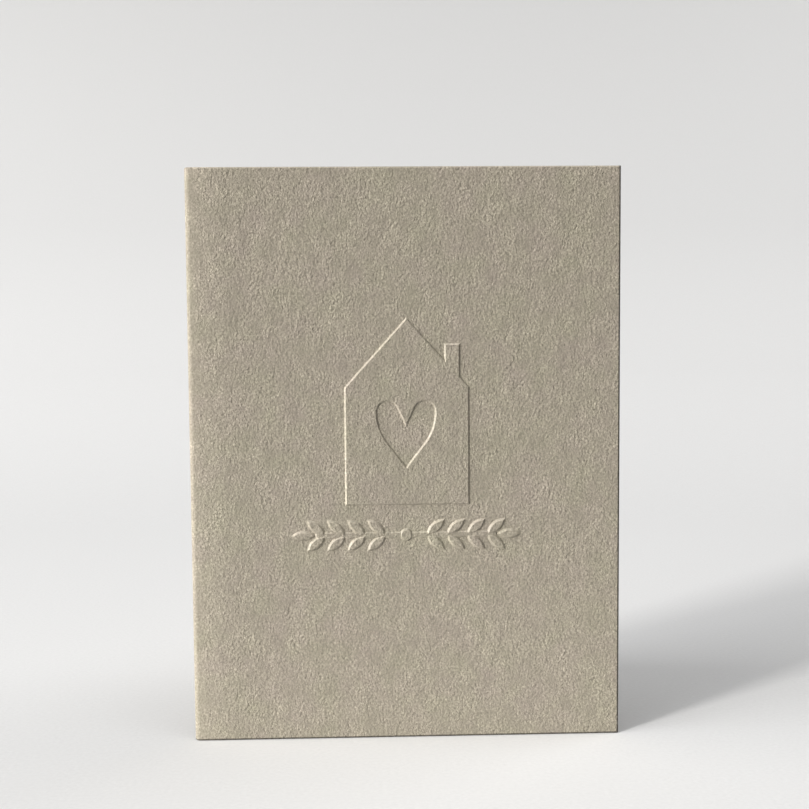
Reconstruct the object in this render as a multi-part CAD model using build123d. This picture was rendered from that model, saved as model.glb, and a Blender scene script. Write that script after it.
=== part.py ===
from build123d import *
import os
from math import radians, tan

# A greeting card of heavy cotton stock, standing open on its lower edges.
# It is one sheet, creased and folded once into a front and a back panel. A pair of dies
# has pressed the front panel: a raised house with its heart left down, and a raised
# leafy sprig below the house.
# Z is up and the floor is at Z = 0. The outside of the front panel looks along -Y, with
# the fold at its left. All lengths are in millimetres and all angles in degrees.

# The sheet and its two panels
sheet_thickness = 0.8
panel_width = 114.3
panel_height = 152.4
opening_angle = 35.0

# The fold, and how far the bead that creasing throws up stands out inside it
fold_inner_radius = 0.5
crease_bead_rise = 0.15

# The knife rolls over the edge that it enters at, on the outside of the card,
# and leaves at least so much of the cut face flat, for the card to stand on
cut_edge_round = 0.5
cut_face_least = 0.15

# The shoulders of the relief, from the plain sheet up to what is lifted
shoulder_slope = 42.0

# The house, a little to the right of the middle of the panel
house_offset = 0.4
house_foot = 63.2
house_width = 33.2
wall_height = 31.5
roof_rise = 18.4
house_rise = 0.4
house_crest_round = 0.12

# The chimney, on the right slope of the roof
chimney_width = 4.3
chimney_inset = 2.4
chimney_rise = 4.0

# The heart, over the middle of the foot of the house.
# Its sides run out from the point, bend upright, and end in a lobe at each side of the notch
heart_offset = 0.15
heart_lift = 10.4
heart_side_out = 7.6
heart_side_up = 9.9
heart_side_straight = 0.2
heart_upright_rise = 7.3
heart_lobe_in = 3.2
heart_lobe_straight = 0.1
heart_notch_depth = 6.9

# The sprig: a straight stem with a berry in its middle, pairs of leaves along it
# and a leaf at each end
sprig_height = 55.2
stem_length = 24.2
stem_breadth = 1.7
stem_rise = 0.25
berry_breadth = 3.6
leaf_pairs = 4
leaf_length = 6.5
leaf_breadth = 2.8
leaf_lean = 40.0
leaf_rise = 0.5
sprig_crest_round = 0.15

fold_outer_radius = fold_inner_radius + sheet_thickness
fold_centre = Vector(fold_outer_radius, fold_outer_radius)
flat_width = panel_width - fold_outer_radius
back_direction = Vector(1, 0).rotate(Axis.Z, opening_angle)

# Drawings for the dies start from the foot of the front panel's middle line
outside_plane = Plane(origin=(panel_width / 2, 0, 0), x_dir=(1, 0, 0), z_dir=(0, -1, 0))
inside_plane = outside_plane.offset(-sheet_thickness)

# A bent sheet keeps its thickness, so the inside of a shoulder lies further in
inside_inset = sheet_thickness * tan(radians(shoulder_slope / 2))


def plan_line(depth):
    """The card from above as one open line, at a depth below the outside of the sheet."""
    front = Line((panel_width, depth), (fold_outer_radius, depth))
    fold = CenterArc(fold_centre, fold_outer_radius - depth, 270, opening_angle - 180)
    back = Line(fold @ 1, fold @ 1 + back_direction * flat_width)
    return front + fold + back


def folded_sheet():
    """The plain sheet, folded, with the bead inside its fold."""
    outside = plan_line(0)
    inside = plan_line(sheet_thickness)
    free_edges = [Line(outside @ end, inside @ end) for end in (0, 1)]
    bead = Pos(*fold_centre) * Circle(fold_inner_radius + crease_bead_rise)
    section = make_face(outside.edges() + inside.edges() + free_edges) + bead
    return extrude(section, panel_height)


def roll_cut_edges(sheet):
    """Round every cut edge on the outside of the sheet."""
    outside_faces = []
    for span in plan_line(0).edges():
        middle = span @ 0.5 + Vector(0, 0, panel_height / 2)
        outside_faces.append(sheet.faces().sort_by_distance(middle)[0])
    edges = [edge for face in outside_faces for edge in face.edges()]
    cut_edges = []
    for edge in edges:
        if sum(edge.is_same(other) for other in edges) == 1:
            cut_edges.append(edge)
    return fillet(cut_edges, min(cut_edge_round, sheet_thickness - cut_face_least))


def house_outline():
    """The house with its chimney, seen from the front."""
    half = house_width / 2
    eaves = house_foot + wall_height
    ridge = eaves + roof_rise
    chimney_right = half - chimney_inset
    chimney_left = chimney_right - chimney_width
    pitch = roof_rise / half
    chimney_top = ridge - chimney_left * pitch + chimney_rise
    outline = Polyline(
        (-half, house_foot),
        (-half, eaves),
        (0, ridge),
        (chimney_left, ridge - chimney_left * pitch),
        (chimney_left, chimney_top),
        (chimney_right, chimney_top),
        (chimney_right, ridge - chimney_right * pitch),
        (half, eaves),
        (half, house_foot),
        close=True,
    )
    return Pos(house_offset, 0) * make_face(outline)


def round_reach(before, corner, after):
    """How far a round of radius 1 reaches along the two runs that meet at a corner."""
    return tan(radians((corner - before).get_angle(after - corner) / 2))


def heart_outline():
    """A heart of straight runs and tangent arcs, with a sharp point and notch."""
    point = Vector(0, 0)
    side = Vector(heart_side_out, heart_side_up)
    outer = side + Vector(0, heart_upright_rise)
    inner = Vector(heart_lobe_in, outer.Y)
    notch = Vector(0, outer.Y - heart_notch_depth)
    # Both corners of a lobe have one round, which leaves a short straight between them
    outer_reach = round_reach(side, outer, inner)
    inner_reach = round_reach(outer, inner, notch)
    lobe_round = (outer.X - inner.X - heart_lobe_straight) / (outer_reach + inner_reach)
    # The round of the side takes up what the lobe's leaves of the upright run
    side_room = heart_upright_rise - heart_side_straight - lobe_round * outer_reach
    side_round = side_room / round_reach(point, side, outer)
    left = [Vector(-corner.X, corner.Y) for corner in (inner, outer, side)]
    corners = [point, side, outer, inner, notch, *left]
    rounds = [0, side_round, lobe_round, lobe_round, 0, lobe_round, lobe_round, side_round]
    outline = FilletPolyline(corners, radius=rounds, close=True)
    return Pos(heart_offset, house_foot + heart_lift) * make_face(outline)


def leaf_outline():
    """A pointed leaf that lies along X from its root."""
    upper = ThreePointArc((0, 0), (leaf_length / 2, leaf_breadth / 2), (leaf_length, 0))
    lower = ThreePointArc((leaf_length, 0), (leaf_length / 2, -leaf_breadth / 2), (0, 0))
    return make_face(upper + lower)


def shouldered_block(outline, plane, rise, foot_offset, side):
    """A block with sloped sides, which narrows (side -1) or widens (side 1) as it rises."""
    crest_offset = foot_offset + side * rise / tan(radians(shoulder_slope))
    foot = offset(outline, foot_offset, kind=Kind.INTERSECTION).face()
    crest = offset(outline, crest_offset, kind=Kind.INTERSECTION).face()
    return loft([plane * foot, plane.offset(rise) * crest], ruled=True)


def round_crest(block, radius):
    """Round the rim of the outermost face of a block on the outside of the front panel."""
    return fillet(block.faces().sort_by(Axis.Y)[0].edges(), radius)


def lifted_house(plane, inset):
    """The lifted house with the heart left down, standing on one face of the sheet."""
    house = shouldered_block(house_outline(), plane, house_rise, -inset, -1)
    heart = shouldered_block(heart_outline(), plane, house_rise, inset, 1)
    return house - heart


def sprig(plane, inset):
    """The berry, the stem and the leaves of the sprig, as blocks on one face of the sheet."""
    stem = Rectangle(2 * stem_length, stem_breadth)
    drawn = [(Circle(berry_breadth / 2), leaf_rise), (stem, stem_rise)]
    pitch = stem_length / (leaf_pairs + 0.5)
    for turn in (0, 180):
        half = Rot(0, 0, turn)
        drawn.append((half * Pos(stem_length, 0) * leaf_outline(), leaf_rise))
        for pair in range(leaf_pairs):
            root = half * Pos(pitch * (pair + 1), 0)
            for lean in (leaf_lean, -leaf_lean):
                drawn.append((root * Rot(0, 0, lean) * leaf_outline(), leaf_rise))
    place = Plane(plane * Pos(0, sprig_height))
    return [shouldered_block(motif, place, rise, -inset, -1) for motif, rise in drawn]


card = roll_cut_edges(folded_sheet())
card += round_crest(lifted_house(outside_plane, 0), house_crest_round)
card += [round_crest(block, sprig_crest_round) for block in sprig(outside_plane, 0)]
card -= [lifted_house(inside_plane, inside_inset), *sprig(inside_plane, inside_inset)]

# The origin is on the floor, under the middle of the space that the card takes up
box = card.bounding_box()
card = Pos(-box.center().X, -box.center().Y, -box.min.Z) * card

os.makedirs("parts", exist_ok=True)
export_step(card, "parts/folded_card.step")
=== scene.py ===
from math import cos, radians, sin

import bpy
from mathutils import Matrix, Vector


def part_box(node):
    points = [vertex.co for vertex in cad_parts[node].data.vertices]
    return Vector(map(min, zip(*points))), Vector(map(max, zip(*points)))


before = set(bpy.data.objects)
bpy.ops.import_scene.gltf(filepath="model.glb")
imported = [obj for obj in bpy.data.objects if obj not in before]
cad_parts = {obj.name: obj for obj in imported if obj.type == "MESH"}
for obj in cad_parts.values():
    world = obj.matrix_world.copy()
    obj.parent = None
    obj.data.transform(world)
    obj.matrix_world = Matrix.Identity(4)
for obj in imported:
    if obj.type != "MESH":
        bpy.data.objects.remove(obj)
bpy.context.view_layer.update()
scene = bpy.context.scene

# The folded card: one sheet of heavy cotton stock with the finish that wet felts leave on
# both of its faces. A rule has creased the fold, a pair of dies has burnished the shoulders,
# and a knife has rolled the cut edges. Painted highlights lighten the shoulders and the sheet
# near the fold, and painted shade darkens the rolled edges along the foot and the free ends.

millimetre = 0.001
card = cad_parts["folded_card"]
card_low, card_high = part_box("folded_card")
sheet_thickness = 0.8 * millimetre
fold_radius = 1.3 * millimetre
relief_rise = 0.5 * millimetre
opening_angle = radians(35.0)

# Felt marks: the fine relief of the fibres on the broader swells that the felt's weave
# left, uneven where the felt was worn, with how light the pulp is and where it clouds.
# The marks are a little longer up the sheet. How fine the fibres are follows from the
# grain, and how fine the others are from the fibres.
mark_shape = (1.0, 1.0, 0.85)
fibre_fineness = 0.95
swell_fineness = 0.25
wear_fineness = 0.17
pulp_fineness = 1.6
cloud_fineness = 0.1
wear_effect = 1.8


def new_shader_group(name, numbers, results):
    """An empty group of shader nodes that reads a Vector and named numbers."""
    tree = bpy.data.node_groups.new(name, "ShaderNodeTree")
    tree.interface.new_socket("Vector", in_out="INPUT", socket_type="NodeSocketVector")
    for label in numbers:
        tree.interface.new_socket(label, in_out="INPUT", socket_type="NodeSocketFloat")
    for label in results:
        tree.interface.new_socket(label, in_out="OUTPUT", socket_type="NodeSocketFloat")
    return tree, tree.nodes.new("NodeGroupInput"), tree.nodes.new("NodeGroupOutput")


def add_node(tree, kind, values=None, **settings):
    """A node of a tree, with its own settings and the values of its unlinked sockets."""
    node = tree.nodes.new(kind)
    for name, value in settings.items():
        setattr(node, name, value)
    for socket, value in (values or {}).items():
        node.inputs[socket].default_value = value
    return node


def feed(tree, socket, value):
    """Gives a socket a value, or links it to another node's output."""
    if isinstance(value, bpy.types.NodeSocket):
        tree.links.new(value, socket)
    else:
        socket.default_value = value


def add_maths(tree, operation, *values, clamp=False):
    """A Math node whose inputs are numbers or other nodes' outputs."""
    node = add_node(tree, "ShaderNodeMath", operation=operation, use_clamp=clamp)
    for socket, value in zip(node.inputs, values):
        feed(tree, socket, value)
    return node.outputs[0]


def add_noise(tree, vector, scale, detail, roughness):
    """A noise about zero, at a scale that is a number or another node's output."""
    node = add_node(tree, "ShaderNodeTexNoise", {"Detail": detail, "Roughness": roughness})
    feed(tree, node.inputs["Vector"], vector)
    feed(tree, node.inputs["Scale"], scale)
    return add_maths(tree, "SUBTRACT", node.outputs["Fac"], 0.5)


felt, felt_in, felt_out = new_shader_group(
    "felt finish", ("Grain", "Depth", "Swell"), ("Height", "Pulp", "Wear", "Cloud")
)
upright = add_node(felt, "ShaderNodeVectorMath", operation="MULTIPLY")
feed(felt, upright.inputs[0], felt_in.outputs["Vector"])
feed(felt, upright.inputs[1], mark_shape)
fibre_place = upright.outputs[0]
fibre_scale = add_maths(felt, "DIVIDE", fibre_fineness, felt_in.outputs["Grain"])
fibres = add_noise(felt, fibre_place, fibre_scale, detail=3.0, roughness=0.62)
swell_scale = add_maths(felt, "MULTIPLY", fibre_scale, swell_fineness)
swells = add_noise(felt, fibre_place, swell_scale, detail=1.0, roughness=0.5)
wear_scale = add_maths(felt, "MULTIPLY", fibre_scale, wear_fineness)
wear = add_noise(felt, fibre_place, wear_scale, detail=2.0, roughness=0.6)
pulp_scale = add_maths(felt, "MULTIPLY", fibre_scale, pulp_fineness)
pulp = add_noise(felt, fibre_place, pulp_scale, detail=2.0, roughness=0.5)
cloud_scale = add_maths(felt, "MULTIPLY", fibre_scale, cloud_fineness)
cloud = add_noise(felt, felt_in.outputs["Vector"], cloud_scale, detail=3.0, roughness=0.5)
uneven = add_maths(felt, "MULTIPLY_ADD", wear, wear_effect, 1.0)
level = add_maths(felt, "MULTIPLY_ADD", swells, felt_in.outputs["Swell"], fibres)
depth = add_maths(felt, "MULTIPLY", felt_in.outputs["Depth"], uneven)
feed(felt, felt_out.inputs["Height"], add_maths(felt, "MULTIPLY", level, depth))
feed(felt, felt_out.inputs["Pulp"], add_maths(felt, "MULTIPLY", pulp, uneven))
feed(felt, felt_out.inputs["Wear"], wear)
feed(felt, felt_out.inputs["Cloud"], cloud)


def add_fade(tree, value, start, end, low=0.0, high=1.0):
    """A smooth step of a value, from low at start to high at end."""
    node = add_node(tree, "ShaderNodeMapRange", interpolation_type="SMOOTHSTEP")
    for socket, source in zip(node.inputs, (value, start, end, low, high)):
        feed(tree, socket, source)
    return node.outputs["Result"]


# Flecks: the bits of fibre that took up more or less of the dye, one in each of a share
# of the pattern's cells
flecks, flecks_in, flecks_out = new_shader_group(
    "flecks", ("Spacing", "Size", "Share"), ("Mask",)
)
cells = add_node(flecks, "ShaderNodeTexVoronoi")
cell_scale = add_maths(flecks, "DIVIDE", 1.0, flecks_in.outputs["Spacing"])
feed(flecks, cells.inputs["Vector"], flecks_in.outputs["Vector"])
feed(flecks, cells.inputs["Scale"], cell_scale)
reach = add_maths(flecks, "MULTIPLY", flecks_in.outputs["Size"], cell_scale)
dot = add_fade(flecks, cells.outputs["Distance"], reach, 0.0)
pick = add_node(flecks, "ShaderNodeSeparateColor")
feed(flecks, pick.inputs["Color"], cells.outputs["Color"])
picked = add_maths(flecks, "LESS_THAN", pick.outputs["Red"], flecks_in.outputs["Share"])
feed(flecks, flecks_out.inputs["Mask"], add_maths(flecks, "MULTIPLY", dot, picked))


def read_place(tree):
    """The node that reads a surface's coordinates, and its places along X, Y and Z."""
    surface = add_node(tree, "ShaderNodeTexCoord")
    place = add_node(tree, "ShaderNodeSeparateXYZ")
    feed(tree, place.inputs["Vector"], surface.outputs["Object"])
    return surface, *place.outputs


cotton = bpy.data.materials.new("cotton stock")
cotton.use_nodes = True
tree = cotton.node_tree
cotton_shader = tree.nodes["Principled BSDF"]
surface, x, y, z = read_place(tree)

# How squarely the surface lies in its panel: less than one on a shoulder or round the fold
plain_square = 0.985
shoulder_square = 0.9
facing = add_node(tree, "ShaderNodeSeparateXYZ")
feed(tree, facing.inputs["Vector"], surface.outputs["Normal"])
facing_back = add_maths(
    tree, "SUBTRACT",
    add_maths(tree, "MULTIPLY", facing.outputs["X"], sin(opening_angle)),
    add_maths(tree, "MULTIPLY", facing.outputs["Y"], cos(opening_angle)),
)
behind_front = add_maths(tree, "GREATER_THAN", y, card_low.y + 2 * sheet_thickness)
square = add_node(tree, "ShaderNodeMix")
feed(tree, square.inputs["Factor"], behind_front)
feed(tree, square.inputs["A"], add_maths(tree, "ABSOLUTE", facing.outputs["Y"]))
feed(tree, square.inputs["B"], add_maths(tree, "ABSOLUTE", facing_back))
shoulder = add_fade(tree, square.outputs["Result"], plain_square, shoulder_square)

# Near its fold the sheet is painted lighter, a painted highlight for the light it catches as
# it bows into the fold, and the rule that creased it has flattened the felt marks there
fold_highlight_reach = 10.0 * millimetre
crease_reach = 1.5 * millimetre
across = add_maths(tree, "SUBTRACT", x, card_low.x + fold_radius)
along = add_maths(tree, "SUBTRACT", y, card_low.y + relief_rise + fold_radius)
across_squared = add_maths(tree, "MULTIPLY", across, across)
along_squared = add_maths(tree, "MULTIPLY", along, along)
from_fold = add_maths(tree, "SQRT", add_maths(tree, "ADD", across_squared, along_squared))
painted_fold_highlight = add_fade(tree, from_fold, fold_radius + fold_highlight_reach, fold_radius)
creased = add_fade(tree, from_fold, fold_radius + crease_reach, fold_radius)

# The arris that the knife has rolled, darkened with painted shade along the foot and both
# free ends
arris = 0.6 * millimetre
edge_shade_share = 0.7
back_end = max(
    corner.co.x * cos(opening_angle) + corner.co.y * sin(opening_angle)
    for corner in card.data.vertices
)
down_back = add_maths(
    tree, "ADD",
    add_maths(tree, "MULTIPLY", x, cos(opening_angle)),
    add_maths(tree, "MULTIPLY", y, sin(opening_angle)),
)
to_front_end = add_maths(tree, "SUBTRACT", card_high.x, x)
to_back_end = add_maths(tree, "SUBTRACT", back_end, down_back)
to_end = add_maths(tree, "MINIMUM", to_front_end, to_back_end)
to_edge = add_maths(tree, "MINIMUM", z, to_end)
painted_edge_shade = add_fade(tree, to_edge, arris, edge_shade_share * arris)

# The dies have burnished the shoulders between the fold and the arris. Their colour is also
# painted lighter, a painted highlight that is strongest on the shoulders that face left,
# towards the light, and weakest on those that face down.
fold_margin = 0.2 * millimetre
leftward_highlight = -0.4
downward_dimming = 1.5
off_shaded_edge = add_maths(tree, "SUBTRACT", 1.0, painted_edge_shade)
off_fold = add_maths(tree, "GREATER_THAN", from_fold, fold_radius + fold_margin)
burnish = add_maths(tree, "MULTIPLY", add_maths(tree, "MULTIPLY", shoulder, off_fold), off_shaded_edge)
highlight_to_left = add_maths(tree, "MULTIPLY_ADD", facing.outputs["X"], leftward_highlight, 1.0)
facing_down = add_maths(tree, "MINIMUM", facing.outputs["Z"], 0.0)
highlight_by_facing = add_maths(tree, "MULTIPLY_ADD", facing_down, downward_dimming, highlight_to_left)
painted_shoulder_highlight = add_maths(tree, "MULTIPLY", burnish, add_maths(tree, "MAXIMUM", highlight_by_facing, 0.0))

finish = add_node(
    tree, "ShaderNodeGroup",
    {"Grain": 0.7 * millimetre, "Depth": 0.46 * millimetre, "Swell": 0.6},
    node_tree=felt,
)
light_flecks = add_node(
    tree, "ShaderNodeGroup",
    {"Spacing": 1.1 * millimetre, "Size": 0.3 * millimetre, "Share": 0.6},
    node_tree=flecks,
)
dark_flecks = add_node(
    tree, "ShaderNodeGroup",
    {"Spacing": 2.1 * millimetre, "Size": 0.35 * millimetre, "Share": 0.2},
    node_tree=flecks,
)
for effect in (finish, light_flecks, dark_flecks):
    feed(tree, effect.inputs["Vector"], surface.outputs["Object"])


def add_colour_mix(tree, factor, first, second):
    """A mix of two colours, each of them a value or another node's output."""
    node = add_node(tree, "ShaderNodeMix", data_type="RGBA")
    sockets = {socket.identifier: socket for socket in node.inputs}
    feed(tree, sockets["Factor_Float"], factor)
    feed(tree, sockets["A_Color"], first)
    feed(tree, sockets["B_Color"], second)
    return next(socket for socket in node.outputs if socket.identifier == "Result_Color")


def add_scaled(tree, colour, factor):
    """A colour times a factor, both of them other nodes' outputs."""
    node = add_node(tree, "ShaderNodeVectorMath", operation="SCALE")
    feed(tree, node.inputs[0], colour)
    feed(tree, node.inputs["Scale"], factor)
    return node.outputs[0]


# The colour of the stock, which clouds from a greener to a pinker grey
green_grey = (0.295, 0.271, 0.205, 1.0)
pink_grey = (0.305, 0.265, 0.219, 1.0)
clouding = 2.0
cloudiness = add_maths(
    tree, "MULTIPLY_ADD", finish.outputs["Cloud"], clouding, 0.5, clamp=True
)
stock = add_colour_mix(tree, cloudiness, green_grey, pink_grey)

# How much the pulp, the wear and each of the effects lighten the stock, or darken it where
# the gain is below zero
pulp_depth = 1.25
wear_depth = 0.45
gains = (
    # painted highlight on the shoulders
    (painted_shoulder_highlight, 0.35),
    # painted highlight near the fold
    (painted_fold_highlight, 0.16),
    (light_flecks.outputs["Mask"], 0.35),
    (dark_flecks.outputs["Mask"], -0.35),
    # painted shade along the rolled edges
    (painted_edge_shade, -0.7),
)
worn = add_maths(tree, "MULTIPLY", finish.outputs["Wear"], wear_depth)
mottled = add_maths(tree, "MULTIPLY_ADD", finish.outputs["Pulp"], pulp_depth, worn)
tone = add_maths(tree, "EXPONENT", mottled)
for mask, gain in gains:
    tone = add_maths(tree, "MULTIPLY", tone, add_maths(tree, "MULTIPLY_ADD", mask, gain, 1.0))
feed(tree, cotton_shader.inputs["Base Color"], add_scaled(tree, stock, tone))

# A burnished shoulder shines a little, and its marks are flatter, as they are in the crease
felt_roughness = 0.92
burnished_roughness = 0.4
flattening = -0.6
roughness = add_fade(tree, burnish, 0.0, 1.0, felt_roughness, burnished_roughness)
feed(tree, cotton_shader.inputs["Roughness"], roughness)
pressed = add_maths(tree, "MAXIMUM", burnish, creased)
standing = add_maths(tree, "MULTIPLY_ADD", pressed, flattening, 1.0)
marks = add_maths(tree, "MULTIPLY", finish.outputs["Height"], standing)
relief = add_node(tree, "ShaderNodeBump", {"Strength": 1.0, "Distance": 1.0})
feed(tree, relief.inputs["Height"], marks)
feed(tree, cotton_shader.inputs["Normal"], relief.outputs["Normal"])
card.data.materials.clear()
card.data.materials.append(cotton)

# The sweep under and behind the card.
# Matte white paper on a table, which curves up into the wall behind without a crease.

sweep_width = 8.0
sweep_front = -4.0
bend_start = 0.3
sweep_bend = 2.0
sweep_height = 3.0
bend_steps = 48

profile = [(sweep_front, 0.0), (bend_start, 0.0)]
for step in range(1, bend_steps + 1):
    turn = radians(90) * step / bend_steps
    profile.append((bend_start + sweep_bend * sin(turn), sweep_bend * (1 - cos(turn))))
profile.append((bend_start + sweep_bend, sweep_height))
points = [(side * sweep_width / 2, back, up) for back, up in profile for side in (-1, 1)]
strips = [(2 * i, 2 * i + 1, 2 * i + 3, 2 * i + 2) for i in range(len(profile) - 1)]
sweep_mesh = bpy.data.meshes.new("sweep")
sweep_mesh.from_pydata(points, [], strips)
sweep_mesh.shade_smooth()
sweep = bpy.data.objects.new("sweep", sweep_mesh)
scene.collection.objects.link(sweep)

paper = bpy.data.materials.new("white paper")
paper.use_nodes = True
tree = paper.node_tree
paper_shader = tree.nodes["Principled BSDF"]
paper_shader.inputs["Roughness"].default_value = 0.95
surface, x, y, z = read_place(tree)

# The paper is painted greyer up the wall, a painted shade that darkens the wall towards its
# top. Each of its tones is at a share of this height.
tone_height = 1.5
paper_tones = ((0.0, 0.84), (0.04, 0.81), (0.15, 0.715), (0.45, 0.66), (1.0, 0.575))
wall_shade = add_node(tree, "ShaderNodeValToRGB")
wall_shade.color_ramp.interpolation = "B_SPLINE"
stops = wall_shade.color_ramp.elements
while len(stops) < len(paper_tones):
    stops.new(0.5)
for stop, (share, grey) in zip(stops, paper_tones):
    stop.position = share
    stop.color = (grey, grey, grey, 1.0)
feed(tree, wall_shade.inputs["Fac"], add_maths(tree, "DIVIDE", z, tone_height))

# A hand's width in front of the card the paper is painted dark for every ray but the
# camera's, a painted shade that stands in for a dark room beyond a table's end, so there the
# paper is white only to the eye
table_edge = -0.15
painted_room_shade = (0.05, 0.05, 0.05, 1.0)
beyond_edge = add_maths(tree, "LESS_THAN", y, table_edge)
seen = add_node(tree, "ShaderNodeLightPath")
unseen = add_maths(tree, "SUBTRACT", 1.0, seen.outputs["Is Camera Ray"])
painted_shade_beyond_edge = add_maths(tree, "MULTIPLY", beyond_edge, unseen)
paper_tone = add_colour_mix(tree, painted_shade_beyond_edge, wall_shade.outputs["Color"], painted_room_shade)

# The paper has a felt finish too, which is only a faint unevenness of its tone
paper_grain = 1.6 * millimetre
paper_pulp_depth = 0.12
paper_finish = add_node(tree, "ShaderNodeGroup", {"Grain": paper_grain}, node_tree=felt)
feed(tree, paper_finish.inputs["Vector"], surface.outputs["Object"])
paper_pulp = add_maths(
    tree, "MULTIPLY_ADD", paper_finish.outputs["Pulp"], paper_pulp_depth, 1.0
)
feed(tree, paper_shader.inputs["Base Color"], add_scaled(tree, paper_tone, paper_pulp))

# Out of the light's reach the paper fades into the room
lit_reach = 2.0
room_reach = 2.8
away = add_node(tree, "ShaderNodeVectorMath", operation="LENGTH")
feed(tree, away.inputs[0], surface.outputs["Object"])
lit = add_fade(tree, away.outputs["Value"], room_reach, lit_reach)
feed(tree, paper_shader.inputs["Alpha"], lit)
sweep_mesh.materials.append(paper)

# The light of a room with one low window at the left, in front of the card.
# The window rakes over the relief, the haze round it softens the shadows, and the left
# wall, the ceiling and the right wall of the white room fill them.

window_heading = radians(39.5)
window_height = radians(12.0)
window_distance = 4.0
card_middle = Vector((0.0, 0.0, 0.07))
towards_window = Vector((
    -cos(window_heading) * cos(window_height),
    -sin(window_heading) * cos(window_height),
    sin(window_height),
))
window_place = card_middle + towards_window * window_distance


def add_panel_light(name, place, target, size, watts, tint=(1.0, 1.0, 1.0)):
    """A soft rectangular light that isn't seen itself."""
    data = bpy.data.lights.new(name, "AREA")
    data.shape = "RECTANGLE"
    data.size, data.size_y = size
    data.energy = watts
    data.color = tint
    lamp = bpy.data.objects.new(name, data)
    scene.collection.objects.link(lamp)
    lamp.location = place
    lamp.rotation_euler = (target - place).to_track_quat("-Z", "Y").to_euler()
    lamp.visible_camera = False


add_panel_light(
    "window", place=window_place, target=card_middle,
    size=(0.55, 0.7), watts=173.0, tint=(1.0, 0.98, 0.95),
)
add_panel_light(
    "window haze", place=window_place, target=card_middle,
    size=(2.0, 1.2), watts=45.0, tint=(1.0, 0.99, 0.97),
)
add_panel_light(
    "left wall", place=Vector((-2.6, -0.5, 0.9)), target=card_middle,
    size=(2.0, 1.6), watts=49.0,
)
add_panel_light(
    "ceiling", place=Vector((0.0, -0.55, 2.2)), target=Vector((0.0, -0.1, 0.0)),
    size=(2.2, 0.9), watts=17.8,
)
add_panel_light(
    "right wall", place=Vector((2.2, 0.9, 1.2)), target=Vector((0.1, 0.8, 0.1)),
    size=(1.8, 1.8), watts=28.0,
)

# Round the sweep the room is pale to the eye, and sends next to no light to the card
room_light = 0.03
room_seen = 0.8
world = bpy.data.worlds.new("room")
scene.world = world
world.use_nodes = True
tree = world.node_tree
room = tree.nodes["Background"]
room.inputs["Color"].default_value = (1.0, 1.0, 1.0, 1.0)
seen = add_node(tree, "ShaderNodeLightPath")
brightness = add_fade(tree, seen.outputs["Is Camera Ray"], 0.0, 1.0, room_light, room_seen)
feed(tree, room.inputs["Strength"], brightness)
scene.view_settings.view_transform = "Standard"

# The camera, at the photograph's viewpoint.
# Its place, its turn and its lens come from the corners of the front panel.

frame_pixels = 809
focal_pixels = 1250.0
camera_place = Vector((-11.1, -362.9, 114.7)) * millimetre
camera_turn = (radians(85.724), radians(0.440), radians(-1.920))

camera_data = bpy.data.cameras.new("camera")
camera_data.sensor_width = 36.0
camera_data.lens = focal_pixels / frame_pixels * camera_data.sensor_width
camera_data.clip_start = 0.01
camera = bpy.data.objects.new("camera", camera_data)
scene.collection.objects.link(camera)
camera.location = camera_place
camera.rotation_euler = camera_turn
scene.camera = camera
